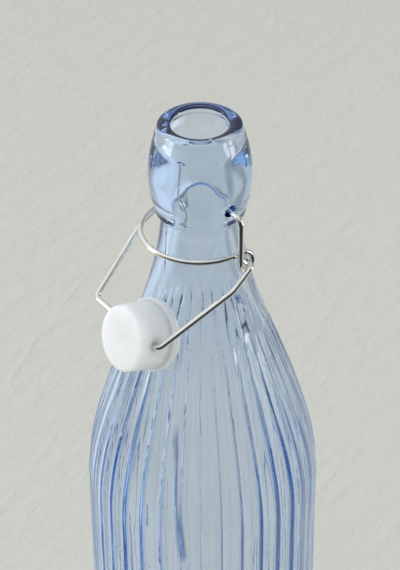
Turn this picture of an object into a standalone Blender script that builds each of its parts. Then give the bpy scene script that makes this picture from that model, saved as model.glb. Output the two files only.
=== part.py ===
"""A fluted glass bottle with a wire swing-top closure.

The bottle stands on Z = 0 with its axis on Z. The closure swings about the X axis through the two
blind holes in the finish, and its lever loop and stopper hang on the -Y side.
"""
import math

import bmesh
import bpy
from mathutils import Matrix, Vector

# Clearances
SEAT_GAP = 0.0003            # between pieces that touch
CUT_OVERRUN = 0.0020         # how far a cutter runs past what it cuts
MERGE_DISTANCE = 0.00001     # points closer than this are one point

# Bottle, outside; a drop is a depth below the top of the lip
BOTTLE_HEIGHT = 0.3150
BODY_RADIUS = 0.0411
LIP_RADIUS = 0.0140
LIP_CREST_RADIUS = 0.0113
LIP_EDGE_DROP = 0.0016
BARREL_RADIUS = 0.01715
BARREL_WIDEST_DROP = 0.0185
BARREL_TOP_POWER = 1.75
BARREL_FOOT_RADIUS = 0.0153
BARREL_FOOT_DROP = 0.0312
NECK_RADIUS = 0.0132
NECK_TOP_DROP = 0.0343
SHOULDER_FOOT_DROP = 0.1460
SHOULDER_START_SLOPE_SHARE = 0.10
HEEL_RADIUS = 0.0070
FOOT_RING_WIDTH = 0.0030
PUSH_UP_HEIGHT = 0.0040

# Bottle, inside; the finish is blown hollow, so its bore widens below the mouth and closes again
BORE_RADIUS = 0.0095
BORE_EDGE_DROP = 0.0009
BORE_LENGTH = 0.0370
HOLLOW_DEPTH = 0.0024
HOLLOW_TOP_DROP = 0.0010
HOLLOW_FULL_DROP = 0.0090
HOLLOW_TURN_DROP = 0.0200
WALL_THICKNESS = 0.0024
BASE_THICKNESS = 0.0050
INSIDE_HEEL_RADIUS = 0.0080

# Flutes
FLUTE_COUNT = 34
FLUTE_DEPTH = 0.0008         # at the body's full radius
FLUTE_TOP_DROP = 0.0750
FLUTE_TOP_RUNOUT = 0.0080
FLUTE_FOOT_RUNOUT = 0.0060
COLUMNS_PER_FLUTE = 4

# Pivot holes in the finish, on the X axis
PIVOT_DROP = 0.0257
PIVOT_HOLE_DEPTH = 0.0048
PIVOT_HOLE_MOUTH_RADIUS = 0.0025

# Closure wire
WIRE_RADIUS = 0.0010
WIRE_BEND_RADIUS = 0.0030

# Lever wire, measured from the pivot
LEG_REACH = 0.0221           # from the bottle's axis to the leg
EYE_RADIUS = 0.0029
EYE_DROP = 0.0182
LOOP_RADIUS = 0.0193
LOOP_FORWARD = 0.0008        # how far the loop's centre lies in front of the pivot

# Bail wire, measured from the eye
BAIL_BEND_REACH = 0.0106
BAIL_BEND_HALF_WIDTH = 0.0256
BAIL_REACH = 0.0406
CROSSBAR_HALF_LENGTH = 0.0181
BAIL_CORNER_RADIUS = 0.0025
HOOK_TAIL_LENGTH = 0.0036
HOOK_BEND_RADIUS = 0.0016

# Stopper, measured along its axis from the crossbar
STOPPER_TILT = math.radians(16.6)    # of the head's axis above the horizontal
STOPPER_SINK = 0.0021                # from the crossbar down to the head's axis
STOPPER_SLIDE = 0.0058               # along the crossbar, towards +X
STOPPER_REST_GAP = 0.000775          # from the hanging gasket to the neck and the shoulder
HEAD_RADIUS = 0.0112
HEAD_ROOT_RADIUS = 0.0114
HEAD_FRONT = 0.0059
HEAD_EDGE_RADIUS = 0.0012
FLANGE_SETBACK = 0.0064
FLANGE_RADIUS = 0.0127
FLANGE_THICKNESS = 0.0015
STEM_RADIUS = 0.0045
BORE_MOUTH_WIDENING = 0.0008
BORE_MOUTH_DEPTH = 0.0025

# Gasket on the stem
GASKET_RADIUS = 0.0121
GASKET_THICKNESS = 0.0015

# How finely round shapes are stepped
LIP_STEPS = 3
BARREL_TOP_STEPS = 5
BARREL_FOOT_STEPS = 3
UNDERSIDE_STEPS = 3
NECK_STEPS = 6
RUNOUT_STEPS = 4
SHOULDER_STEPS = 7
HEEL_STEPS = 3
PUSH_UP_STEPS = 3
INSIDE_SHOULDER_STEPS = 9
HOLLOW_STEPS = 9
ROUND_STEPS = 40
HOLE_STEPS = 20
WIRE_ARC_STEP = math.radians(20.0)
SLOPE_HALVINGS = 30

# Places that follow from the sizes
PIVOT_HEIGHT = BOTTLE_HEIGHT - PIVOT_DROP
PIVOT_HOLE_FLOOR = BARREL_RADIUS - PIVOT_HOLE_DEPTH
WIRE_PASS = 2 * WIRE_RADIUS + SEAT_GAP            # from wire centre to wire centre where two cross
INSIDE_RADIUS = BODY_RADIUS - FLUTE_DEPTH - WALL_THICKNESS
EYE_BACK = EYE_RADIUS                             # the leg runs straight down to the eye's front
EYE_HEIGHT = PIVOT_HEIGHT - EYE_DROP
LOOP_HEIGHT = EYE_HEIGHT + EYE_RADIUS
LOOP_START_REACH = LEG_REACH - WIRE_PASS
HOOK_OUTER_REACH = LEG_REACH + WIRE_PASS
HOOK_INNER_REACH = LOOP_START_REACH - WIRE_PASS


def remove_scene_objects():
    for item in list(bpy.data.objects):
        bpy.data.objects.remove(item, do_unlink=True)


def make_collection(name):
    group = bpy.data.collections.new(name)
    bpy.context.scene.collection.children.link(group)
    return group


def make_material(name, colour, roughness, metallic=0.0, transmission=0.0):
    material = bpy.data.materials.new(name)
    material.use_nodes = True
    shader = material.node_tree.nodes["Principled BSDF"]
    shader.inputs["Base Color"].default_value = (*colour, 1.0)
    shader.inputs["Roughness"].default_value = roughness
    shader.inputs["Metallic"].default_value = metallic
    shader.inputs["Transmission Weight"].default_value = transmission
    return material


def shares(count):
    """Even steps from 0 to 1, with 0 left out."""
    return [(step + 1) / count for step in range(count)]


def quarter_ellipse(centre, radii, start, end, count):
    """Points along an ellipse from one angle to another, with the first left out."""
    points = []
    for share in shares(count):
        angle = math.radians(start + (end - start) * share)
        points.append((centre[0] + radii[0] * math.cos(angle), centre[1] + radii[1] * math.sin(angle)))
    return points


def shoulder_rise(share):
    """How far the shoulder has widened, from 0 at the neck to 1 at the body."""
    smooth = 3 * share ** 2 - 2 * share ** 3
    start = share ** 3 - 2 * share ** 2 + share
    return smooth + SHOULDER_START_SLOPE_SHARE * start


def outside_radius(drop):
    """The unfluted outside radius of the neck, shoulder and body."""
    share = (drop - NECK_TOP_DROP) / (SHOULDER_FOOT_DROP - NECK_TOP_DROP)
    return NECK_RADIUS + (BODY_RADIUS - NECK_RADIUS) * shoulder_rise(min(max(share, 0.0), 1.0))


def smooth_step(value, low, high):
    share = min(max((value - low) / (high - low), 0.0), 1.0)
    return share * share * (3 - 2 * share)


def hollow_depth(drop):
    """How much wider the inside of the finish is than its bore."""
    widening = smooth_step(drop, HOLLOW_TOP_DROP, HOLLOW_FULL_DROP)
    closing = 1.0 - smooth_step(drop, HOLLOW_TURN_DROP, BORE_LENGTH)
    return HOLLOW_DEPTH * widening * closing


def inside_profile():
    """From the middle of the inside base, up the wall, to the edge of the bore."""
    floor = BASE_THICKNESS
    crown = BASE_THICKNESS + PUSH_UP_HEIGHT
    flat_radius = INSIDE_RADIUS - INSIDE_HEEL_RADIUS
    points = [(0.0, crown)]
    for share in shares(PUSH_UP_STEPS):
        points.append((flat_radius * share, floor + PUSH_UP_HEIGHT * math.cos(math.pi / 2 * share)))
    heel_centre = (flat_radius, floor + INSIDE_HEEL_RADIUS)
    points += quarter_ellipse(heel_centre, (INSIDE_HEEL_RADIUS, INSIDE_HEEL_RADIUS), -90, 0, HEEL_STEPS)
    for share in [0.0] + shares(INSIDE_SHOULDER_STEPS):
        drop = SHOULDER_FOOT_DROP + (BORE_LENGTH - SHOULDER_FOOT_DROP) * share
        radius = BORE_RADIUS + (INSIDE_RADIUS - BORE_RADIUS) * shoulder_rise(1.0 - share)
        points.append((radius, BOTTLE_HEIGHT - drop))
    for share in shares(HOLLOW_STEPS):
        drop = BORE_LENGTH + (BORE_EDGE_DROP - BORE_LENGTH) * share
        points.append((BORE_RADIUS + hollow_depth(drop), BOTTLE_HEIGHT - drop))
    return points


def finish_profile():
    """The lip and the barrel that carries the pivot holes, down to the top of the neck."""
    lip_width = LIP_CREST_RADIUS - BORE_RADIUS
    points = quarter_ellipse((LIP_CREST_RADIUS, BOTTLE_HEIGHT - BORE_EDGE_DROP),
                             (lip_width, BORE_EDGE_DROP), 180, 90, LIP_STEPS)
    points += quarter_ellipse((LIP_CREST_RADIUS, BOTTLE_HEIGHT - LIP_EDGE_DROP),
                              (LIP_RADIUS - LIP_CREST_RADIUS, LIP_EDGE_DROP), 90, 0, LIP_STEPS)
    for share in shares(BARREL_TOP_STEPS):
        drop = LIP_EDGE_DROP + (BARREL_WIDEST_DROP - LIP_EDGE_DROP) * share
        inset = (BARREL_RADIUS - LIP_RADIUS) * (1.0 - share) ** BARREL_TOP_POWER
        points.append((BARREL_RADIUS - inset, BOTTLE_HEIGHT - drop))
    for share in shares(BARREL_FOOT_STEPS):
        drop = BARREL_WIDEST_DROP + (BARREL_FOOT_DROP - BARREL_WIDEST_DROP) * share
        inset = (BARREL_RADIUS - BARREL_FOOT_RADIUS) * share ** 2
        points.append((BARREL_RADIUS - inset, BOTTLE_HEIGHT - drop))
    points += quarter_ellipse((NECK_RADIUS, BOTTLE_HEIGHT - BARREL_FOOT_DROP),
                              (BARREL_FOOT_RADIUS - NECK_RADIUS, NECK_TOP_DROP - BARREL_FOOT_DROP),
                              0, -90, UNDERSIDE_STEPS)
    return points


def body_profile():
    """The neck below the barrel, the shoulder, the straight body and the heel, down to the foot."""
    drops = []
    marks = [(NECK_TOP_DROP, FLUTE_TOP_DROP, NECK_STEPS),
             (FLUTE_TOP_DROP, FLUTE_TOP_DROP + FLUTE_TOP_RUNOUT, RUNOUT_STEPS),
             (FLUTE_TOP_DROP + FLUTE_TOP_RUNOUT, SHOULDER_FOOT_DROP, SHOULDER_STEPS),
             (SHOULDER_FOOT_DROP, BOTTLE_HEIGHT - HEEL_RADIUS - FLUTE_FOOT_RUNOUT, 1),
             (BOTTLE_HEIGHT - HEEL_RADIUS - FLUTE_FOOT_RUNOUT, BOTTLE_HEIGHT - HEEL_RADIUS, 2)]
    for first, last, count in marks:
        drops += [first + (last - first) * share for share in shares(count)]
    points = [(outside_radius(drop), BOTTLE_HEIGHT - drop) for drop in drops]
    heel_centre = (BODY_RADIUS - HEEL_RADIUS, HEEL_RADIUS)
    points += quarter_ellipse(heel_centre, (HEEL_RADIUS, HEEL_RADIUS), 0, -90, HEEL_STEPS)
    return points


def base_profile():
    """The flat standing ring and the push-up, in to the middle."""
    ring_inside = BODY_RADIUS - HEEL_RADIUS - FOOT_RING_WIDTH
    points = [(ring_inside, 0.0)]
    for share in shares(PUSH_UP_STEPS):
        height = PUSH_UP_HEIGHT * math.sin(math.pi / 2 * share)
        points.append((ring_inside * (1.0 - share), height))
    return points


def turned_mesh(name, profile, steps):
    """A closed mesh turned about Z from a profile that runs down its outer side."""
    mesh = bpy.data.meshes.new(name + "_profile")
    edges = [(index, index + 1) for index in range(len(profile) - 1)]
    mesh.from_pydata([(radius, 0.0, height) for radius, height in profile], edges, [])
    item = bpy.data.objects.new(name + "_profile", mesh)
    bpy.context.scene.collection.objects.link(item)
    screw = item.modifiers.new("Turn", "SCREW")
    screw.steps = steps
    screw.render_steps = steps
    screw.use_merge_vertices = True
    screw.merge_threshold = MERGE_DISTANCE
    screw.use_normal_calculate = True
    bpy.context.view_layer.update()
    evaluated = item.evaluated_get(bpy.context.evaluated_depsgraph_get())
    result = bpy.data.meshes.new_from_object(evaluated)
    bpy.data.objects.remove(item, do_unlink=True)
    result.name = name
    return result


def flute_depth(position):
    """How deep the flutes lie below the turned surface at a point of it."""
    radius = math.hypot(position.x, position.y)
    drop = BOTTLE_HEIGHT - position.z
    turn = math.atan2(position.y, position.x) * FLUTE_COUNT / (2 * math.pi)
    across = 2 * abs(turn - round(turn))                  # 0 at a flute's middle, 1 at a ridge
    top_share = min(max((FLUTE_TOP_DROP + FLUTE_TOP_RUNOUT - drop) / FLUTE_TOP_RUNOUT, 0.0), 1.0)
    foot_share = min(max((HEEL_RADIUS + FLUTE_FOOT_RUNOUT - position.z) / FLUTE_FOOT_RUNOUT, 0.0), 1.0)
    share = 1.0 - across ** 2 - top_share ** 2 - foot_share ** 2
    return FLUTE_DEPTH * radius / BODY_RADIUS * max(share, 0.0)


def carve_flutes(mesh):
    """Draws the outside in along the flutes, which end in rounded arches on the shoulder."""
    for vertex in mesh.vertices:
        radius = math.hypot(vertex.co.x, vertex.co.y)
        drop = BOTTLE_HEIGHT - vertex.co.z
        outside = radius > outside_radius(drop) - WALL_THICKNESS / 2
        if outside and drop > FLUTE_TOP_DROP and vertex.co.z > HEEL_RADIUS:
            inward = (radius - flute_depth(vertex.co)) / radius
            vertex.co.x *= inward
            vertex.co.y *= inward


def thin_columns(mesh, keep_every, is_smooth):
    """Drops the columns of edges that a smooth stretch of the wall doesn't need."""
    work = bmesh.new()
    work.from_mesh(mesh)
    columns = FLUTE_COUNT * COLUMNS_PER_FLUTE
    spare = []
    for edge in work.edges:
        inner, outer = sorted((vertex.co for vertex in edge.verts), key=lambda point: point.xy.length)
        run = math.hypot(outer.xy.length - inner.xy.length, outer.z - inner.z)
        column = round(math.atan2(outer.y, outer.x) * columns / (2 * math.pi)) % columns
        if run > MERGE_DISTANCE and column % keep_every and is_smooth(inner) and is_smooth(outer):
            spare.append(edge)
    bmesh.ops.dissolve_edges(work, edges=spare, use_verts=True, use_face_split=False)
    bmesh.ops.triangulate(work, faces=[face for face in work.faces if len(face.verts) > 4])
    work.to_mesh(mesh)
    work.free()


def on_smooth_outside(point):
    """On the lip, the barrel or the neck above the flutes, or on the heel below them."""
    drop = BOTTLE_HEIGHT - point.z
    above = drop < FLUTE_TOP_DROP + MERGE_DISTANCE and point.xy.length > BORE_RADIUS - MERGE_DISTANCE
    ring_inside = BODY_RADIUS - HEEL_RADIUS - FOOT_RING_WIDTH
    below = point.z < HEEL_RADIUS + MERGE_DISTANCE and point.xy.length > ring_inside - MERGE_DISTANCE
    return (above or below) and not on_inside(point)


def on_inside(point):
    """On the bore, the inner wall or the inside base."""
    drop = BOTTLE_HEIGHT - point.z
    in_bore = drop < BORE_LENGTH and point.xy.length < BORE_RADIUS + hollow_depth(drop) + MERGE_DISTANCE
    in_body = drop >= BORE_LENGTH and point.xy.length < outside_radius(drop) - WALL_THICKNESS / 2
    return (in_bore or in_body) and point.z > BASE_THICKNESS - MERGE_DISTANCE


def under_base(point):
    """On the push-up, inside the standing ring."""
    ring_inside = BODY_RADIUS - HEEL_RADIUS - FOOT_RING_WIDTH
    return point.z < BASE_THICKNESS - MERGE_DISTANCE and point.xy.length < ring_inside + MERGE_DISTANCE


def place_object(name, data, material, parts, location=(0.0, 0.0, 0.0), turn=(0.0, 0.0, 0.0)):
    item = bpy.data.objects.new(name, data)
    item.data.materials.append(material)
    item.location = location
    item.rotation_euler = turn
    parts.objects.link(item)
    return item


def shade_round(item, angle=30.0):
    item.data.shade_smooth()
    item.data.set_sharp_from_angle(angle=math.radians(angle))


def add_cutter(name, radius_start, radius_end, start, length, cutters, direction=1.0):
    """A cone or cylinder cutter along X, from its start towards direction."""
    work = bmesh.new()
    bmesh.ops.create_cone(work, cap_ends=True, segments=HOLE_STEPS, radius1=radius_start,
                          radius2=radius_end, depth=length,
                          matrix=Matrix.Translation((0.0, 0.0, length / 2)))
    mesh = bpy.data.meshes.new(name)
    work.to_mesh(mesh)
    work.free()
    item = bpy.data.objects.new(name, mesh)
    item.location = start
    item.rotation_euler = (0.0, math.radians(90.0) * direction, 0.0)
    item.hide_render = True
    item.display_type = "WIRE"
    cutters.objects.link(item)
    return item


def cut(item, cutter):
    modifier = item.modifiers.new(cutter.name, "BOOLEAN")
    modifier.operation = "DIFFERENCE"
    modifier.solver = "EXACT"
    modifier.object = cutter


def build_bottle(parts, cutters):
    """The bottle: one hollow glass piece, turned, fluted, and holed for the closure."""
    profile = inside_profile() + finish_profile() + body_profile() + base_profile()
    mesh = turned_mesh("bottle", profile, FLUTE_COUNT * COLUMNS_PER_FLUTE)
    carve_flutes(mesh)
    thin_columns(mesh, 2, on_smooth_outside)
    thin_columns(mesh, COLUMNS_PER_FLUTE, on_inside)
    thin_columns(mesh, COLUMNS_PER_FLUTE, under_base)
    glass = make_material("blue_glass", (0.55, 0.68, 0.85), 0.03, transmission=1.0)
    bottle = place_object("bottle", mesh, glass, parts)
    shade_round(bottle)
    floor_radius = WIRE_RADIUS + SEAT_GAP
    depth = PIVOT_HOLE_DEPTH + CUT_OVERRUN
    mouth_radius = floor_radius + (PIVOT_HOLE_MOUTH_RADIUS - floor_radius) * depth / PIVOT_HOLE_DEPTH
    for side, name in ((1.0, "pivot_hole_right"), (-1.0, "pivot_hole_left")):
        start = (side * PIVOT_HOLE_FLOOR, 0.0, PIVOT_HEIGHT)
        cut(bottle, add_cutter(name, floor_radius, mouth_radius, start, depth, cutters, side))


def bent_path(corners, radii):
    """Points along straight runs through the corners, with an arc of the given radius at each."""
    points = [corners[0]]
    for index in range(1, len(corners) - 1):
        corner = corners[index]
        back = (corners[index - 1] - corner).normalized()
        ahead = (corners[index + 1] - corner).normalized()
        turn = math.pi - back.angle(ahead)
        setback = radii[index - 1] * math.tan(turn / 2)
        middle = corner + (back + ahead).normalized() * radii[index - 1] / math.cos(turn / 2)
        first = corner + back * setback - middle
        axis = ahead.cross(back)
        steps = max(2, math.ceil(turn / WIRE_ARC_STEP))
        for step in range(steps + 1):
            points.append(middle + Matrix.Rotation(turn * step / steps, 3, axis) @ first)
    points.append(corners[-1])
    return points


def mirrored(half):
    """A whole path from the half at +X, whose last point lies on X = 0."""
    return half + [Vector((-point.x, point.y, point.z)) for point in reversed(half[:-1])]


def wire_object(name, points, origin, material, parts):
    """A round wire along the points, with its origin on the axis that it turns about."""
    curve = bpy.data.curves.new(name, "CURVE")
    curve.dimensions = "3D"
    curve.bevel_depth = WIRE_RADIUS
    curve.bevel_resolution = 2
    curve.use_fill_caps = True
    spline = curve.splines.new("POLY")
    spline.points.add(len(points) - 1)
    for target, point in zip(spline.points, points):
        target.co = (*(point - origin), 1.0)
    return place_object(name, curve, material, parts, origin)


def build_lever(parts, steel):
    """The lever wire: its ends turn in the pivot holes, each side has an eye, and a loop joins them."""
    tip_reach = PIVOT_HOLE_FLOOR + SEAT_GAP
    corners = [Vector((tip_reach, 0.0, PIVOT_HEIGHT)),
               Vector((LEG_REACH, 0.0, PIVOT_HEIGHT)),
               Vector((LEG_REACH, 0.0, EYE_HEIGHT))]
    half = bent_path(corners, [WIRE_BEND_RADIUS])
    eye_turn = math.radians(270.0)
    steps = math.ceil(eye_turn / WIRE_ARC_STEP)
    for step in range(1, steps + 1):
        share = step / steps
        angle = math.pi + eye_turn * share
        half.append(Vector((LEG_REACH - WIRE_PASS * share,
                            EYE_BACK + EYE_RADIUS * math.cos(angle),
                            EYE_HEIGHT + EYE_RADIUS * math.sin(angle))))
    quarter = math.radians(90.0)
    steps = math.ceil(quarter / (WIRE_ARC_STEP / 2))
    for step in range(steps + 1):
        angle = quarter * step / steps
        reach = LOOP_START_REACH + (LOOP_RADIUS - LOOP_START_REACH) * math.sin(angle)
        half.append(Vector((reach * math.cos(angle), -LOOP_FORWARD - reach * math.sin(angle), LOOP_HEIGHT)))
    pivot = Vector((0.0, 0.0, PIVOT_HEIGHT))
    return wire_object("lever_wire", mirrored(half), pivot, steel, parts)


def rest_gap(along):
    """From the gasket's lower or upper back edge to the glass, with the bail along a direction."""
    pin = Vector((0.0, EYE_BACK, EYE_HEIGHT)) + along * BAIL_REACH
    forward = Vector((0.0, -math.cos(STOPPER_TILT), math.sin(STOPPER_TILT)))
    up = Vector((0.0, math.sin(STOPPER_TILT), math.cos(STOPPER_TILT)))
    setback = FLANGE_SETBACK + FLANGE_THICKNESS + SEAT_GAP + GASKET_THICKNESS
    back = pin - up * STOPPER_SINK - forward * setback
    edges = [back - up * GASKET_RADIUS, back + up * GASKET_RADIUS]
    return min(-edge.y - outside_radius(BOTTLE_HEIGHT - edge.z) for edge in edges)


def hanging_bail():
    """The bail's direction as the stopper hangs against the shoulder, found by halving its slope."""
    low = 0.0
    high = math.radians(90.0)
    for _ in range(SLOPE_HALVINGS):
        middle = (low + high) / 2
        along = Vector((0.0, -math.cos(middle), -math.sin(middle)))
        if rest_gap(along) > STOPPER_REST_GAP:
            low = middle
        else:
            high = middle
    return along


def build_bail(parts, steel, along):
    """The bail wire: a hook through each eye, two arms, and the crossbar that carries the stopper."""
    eye = Vector((0.0, EYE_BACK, EYE_HEIGHT))
    side = Vector((1.0, 0.0, 0.0))
    tail = Vector((0.0, 0.0, -HOOK_TAIL_LENGTH))
    corners = [eye + side * HOOK_INNER_REACH + tail,
               eye + side * HOOK_INNER_REACH,
               eye + side * HOOK_OUTER_REACH,
               eye + side * BAIL_BEND_HALF_WIDTH + along * BAIL_BEND_REACH,
               eye + side * CROSSBAR_HALF_LENGTH + along * BAIL_REACH,
               eye + along * BAIL_REACH]
    radii = [HOOK_BEND_RADIUS, HOOK_BEND_RADIUS, 2 * WIRE_BEND_RADIUS, BAIL_CORNER_RADIUS]
    return wire_object("bail_wire", mirrored(bent_path(corners, radii)), eye, steel, parts)


def stopper_profile():
    """The head, the flange and the short stem, from the front face to the stem's end."""
    flange_back = FLANGE_SETBACK + FLANGE_THICKNESS
    stem_end = flange_back + SEAT_GAP + GASKET_THICKNESS
    rim = FLANGE_THICKNESS / 4
    points = [(0.0, HEAD_FRONT), (HEAD_RADIUS - HEAD_EDGE_RADIUS, HEAD_FRONT)]
    points += quarter_ellipse((HEAD_RADIUS - HEAD_EDGE_RADIUS, HEAD_FRONT - HEAD_EDGE_RADIUS),
                              (HEAD_EDGE_RADIUS, HEAD_EDGE_RADIUS), 90, 0, LIP_STEPS)
    points += [(HEAD_ROOT_RADIUS, -FLANGE_SETBACK),
               (FLANGE_RADIUS - rim, -FLANGE_SETBACK),
               (FLANGE_RADIUS, -FLANGE_SETBACK - rim),
               (FLANGE_RADIUS, -flange_back + rim),
               (FLANGE_RADIUS - rim, -flange_back),
               (STEM_RADIUS, -flange_back),
               (STEM_RADIUS, -stem_end),
               (0.0, -stem_end)]
    return points


def gasket_profile():
    """A flat ring with softened edges, round the stem."""
    top = -FLANGE_SETBACK - FLANGE_THICKNESS - SEAT_GAP
    bottom = top - GASKET_THICKNESS
    inside = STEM_RADIUS + SEAT_GAP
    edge = GASKET_THICKNESS / 4
    return [(inside, top), (GASKET_RADIUS - edge, top), (GASKET_RADIUS, top - edge),
            (GASKET_RADIUS, bottom + edge), (GASKET_RADIUS - edge, bottom), (inside, bottom), (inside, top)]


def build_stopper(parts, cutters, along):
    """The plastic stopper on the crossbar, with its gasket behind the flange."""
    pin = Vector((STOPPER_SLIDE, EYE_BACK, EYE_HEIGHT)) + along * BAIL_REACH
    centre = pin + Vector((0.0, -math.sin(STOPPER_TILT), -math.cos(STOPPER_TILT))) * STOPPER_SINK
    turn = (math.radians(90.0) - STOPPER_TILT, 0.0, 0.0)
    plastic = make_material("white_plastic", (0.86, 0.87, 0.86), 0.45)
    rubber = make_material("clear_rubber", (0.80, 0.82, 0.82), 0.55)
    stopper = place_object("stopper", turned_mesh("stopper", stopper_profile(), ROUND_STEPS), plastic,
                           parts, centre, turn)
    shade_round(stopper)
    bore_radius = WIRE_RADIUS + SEAT_GAP
    half = HEAD_ROOT_RADIUS + CUT_OVERRUN
    cut(stopper, add_cutter("crossbar_bore", bore_radius, bore_radius,
                            pin - Vector((half, 0.0, 0.0)), 2 * half, cutters))
    depth = BORE_MOUTH_DEPTH + CUT_OVERRUN
    mouth_radius = bore_radius + BORE_MOUTH_WIDENING * depth / BORE_MOUTH_DEPTH
    for side, name in ((1.0, "bore_mouth_right"), (-1.0, "bore_mouth_left")):
        start = pin + Vector((side * (half - depth), 0.0, 0.0))
        cut(stopper, add_cutter(name, bore_radius, mouth_radius, start, depth, cutters, side))
    gasket = place_object("gasket", turned_mesh("gasket", gasket_profile(), ROUND_STEPS), rubber,
                          parts, centre, turn)
    shade_round(gasket)


def build():
    remove_scene_objects()
    parts = make_collection("swing_top_bottle")
    cutters = make_collection("cutters")
    steel = make_material("wire_steel", (0.72, 0.72, 0.68), 0.18, metallic=1.0)
    build_bottle(parts, cutters)
    build_lever(parts, steel)
    along = hanging_bail()
    build_bail(parts, steel, along)
    build_stopper(parts, cutters, along)


build()
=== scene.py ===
import math

import bmesh
import bpy
from mathutils import Matrix, Vector


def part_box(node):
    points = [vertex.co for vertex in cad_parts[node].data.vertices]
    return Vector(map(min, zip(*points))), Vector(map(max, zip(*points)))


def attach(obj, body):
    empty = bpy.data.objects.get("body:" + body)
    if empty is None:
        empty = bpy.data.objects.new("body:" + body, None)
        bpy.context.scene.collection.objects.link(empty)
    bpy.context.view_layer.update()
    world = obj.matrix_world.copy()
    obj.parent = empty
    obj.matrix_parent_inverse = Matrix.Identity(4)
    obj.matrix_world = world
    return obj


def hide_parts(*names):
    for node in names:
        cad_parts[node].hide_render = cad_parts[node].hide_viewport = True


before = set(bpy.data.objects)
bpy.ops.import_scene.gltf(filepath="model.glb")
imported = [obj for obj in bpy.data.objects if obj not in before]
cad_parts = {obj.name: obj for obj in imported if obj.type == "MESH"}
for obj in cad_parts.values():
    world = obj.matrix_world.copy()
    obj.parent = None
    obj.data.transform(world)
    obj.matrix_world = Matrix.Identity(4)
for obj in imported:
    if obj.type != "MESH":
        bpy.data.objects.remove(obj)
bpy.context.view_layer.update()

# Camera
# It looks down on the closure from the front right, from about 0.7 m away, through a long lens.
# The sensor's size is measured along the picture's long side, which stands upright.
CAMERA_PLACE = Vector((0.44338, -0.32213, 0.64822))
CAMERA_TURN = math.radians(54.04)
CAMERA_PITCH = math.radians(35.963)
CAMERA_ROLL = math.radians(-0.5)
CAMERA_SENSOR = 36.0
CAMERA_LENS = 126.3


def placed(name, data):
    """A new object in the scene that holds the given data."""
    item = bpy.data.objects.new(name, data)
    bpy.context.scene.collection.objects.link(item)
    return item


def add_camera():
    ahead = Vector((-math.sin(CAMERA_TURN) * math.cos(CAMERA_PITCH),
                    math.cos(CAMERA_TURN) * math.cos(CAMERA_PITCH),
                    -math.sin(CAMERA_PITCH)))
    right = Vector((math.cos(CAMERA_TURN), math.sin(CAMERA_TURN), 0.0))
    up = right.cross(ahead)
    axes = Matrix((right, up, -ahead)).transposed().to_4x4()
    lens = bpy.data.cameras.new("camera")
    lens.sensor_width = CAMERA_SENSOR
    lens.lens = CAMERA_LENS
    camera = placed("camera", lens)
    camera.matrix_world = Matrix.Translation(CAMERA_PLACE) @ axes @ Matrix.Rotation(CAMERA_ROLL, 4, "Z")
    bpy.context.scene.camera = camera


add_camera()

# Floor and light
# A pale plaster surface, brushed on unevenly, lies under the bottle. The sky is brightest to the left,
# as by a window, and a tall soft lamp stands on either side. Metal and glass see shade painted on the
# floor in front, and metal also a dimmer sky there; glass also sees a painted dark strip to the right
# and a painted glowing pool of light to the left.
FLOOR_REACH = 4.0
PLASTER = (0.70, 0.695, 0.635)
PLASTER_ROUGHNESS = 0.85
PLASTER_GLOSS = 0.2
PLASTER_DEPTH = 0.002
PLASTER_RELIEF = 0.95
SHADE_LEAST = 0.96
SHADE_SPREAD = 0.08
STROKE_TURN = math.radians(107.0)
STROKE_SIZE = (0.026, 0.008, 1.0)
STROKE_HEIGHT = 0.6
RIDGE_SIZE = (0.180, 0.070, 1.0)
RIDGE_SHARPNESS = 30.0
RIDGE_HEIGHT = 0.12
GRAIN_SCALE = 300.0
GRAIN_HEIGHT = 0.20
SKY = (0.60, 0.607, 0.575)
SKY_LIGHT = (0.95, 0.97, 1.0)
WINDOW_SIDE = Vector((-0.55, -0.60, 0.58)).normalized()
WINDOW_EDGE = (-0.3, 0.9)
WINDOW_SKY = 1.0
ROOM_SKY = 0.38
LAMP_TARGET = Vector((0.0, 0.0, 0.5))
LAMP_LEFT = Vector((-0.985, -1.260, 0.64))
LAMP_LEFT_SIZE = (0.40, 1.2)
LAMP_LEFT_POWER = 9.0
LAMP_RIGHT = Vector((0.95, 0.95, 0.55))
LAMP_RIGHT_SIZE = (0.3, 1.0)
LAMP_RIGHT_POWER = 6.0
GLASS_BOUNCES = 32                           # with few, the thick parts of the glass turn black
FRONT_SIDE = (0.809, -0.587, 0.0)
# Painted shade: the colour of a dark patch on the floor in front, which only metal and glass see.
FRONT_PAINTED_SHADE = (0.035, 0.045, 0.065)
FRONT_EDGE = (0.10, 0.28)
FRONT_GLASS_SHADE = 0.35
FRONT_SKY = 0.85
FRONT_SKY_EDGE = (0.0, 0.7)
FRONT_SKY_TOP = (0.35, 0.75)
RIGHT_SIDE = (0.707, 0.707, 0.0)
# Painted shade: a dark strip on the floor to the right, seen only through glass.
RIGHT_START = (0.06, 0.14)
RIGHT_END = (0.22, 0.32)
RIGHT_GLASS_SHADE = 0.5
LEFT_SIDE = (-0.616, -0.788, 0.0)
# Painted light: a glowing pool on the floor to the left that only glass sees, with a faint glow for glass
# everywhere else.
POOL_START = (0.08, 0.22)
POOL_END = (0.30, 0.55)
POOL_BASE = 0.07
PAINTED_POOL_COLOUR = (0.88, 0.95, 1.0)
PAINTED_POOL_LIGHT = 1.0
LOW_SKY_TOP = (0.1, 0.45)
FADE_EDGE = (1.2, 3.0)


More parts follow.
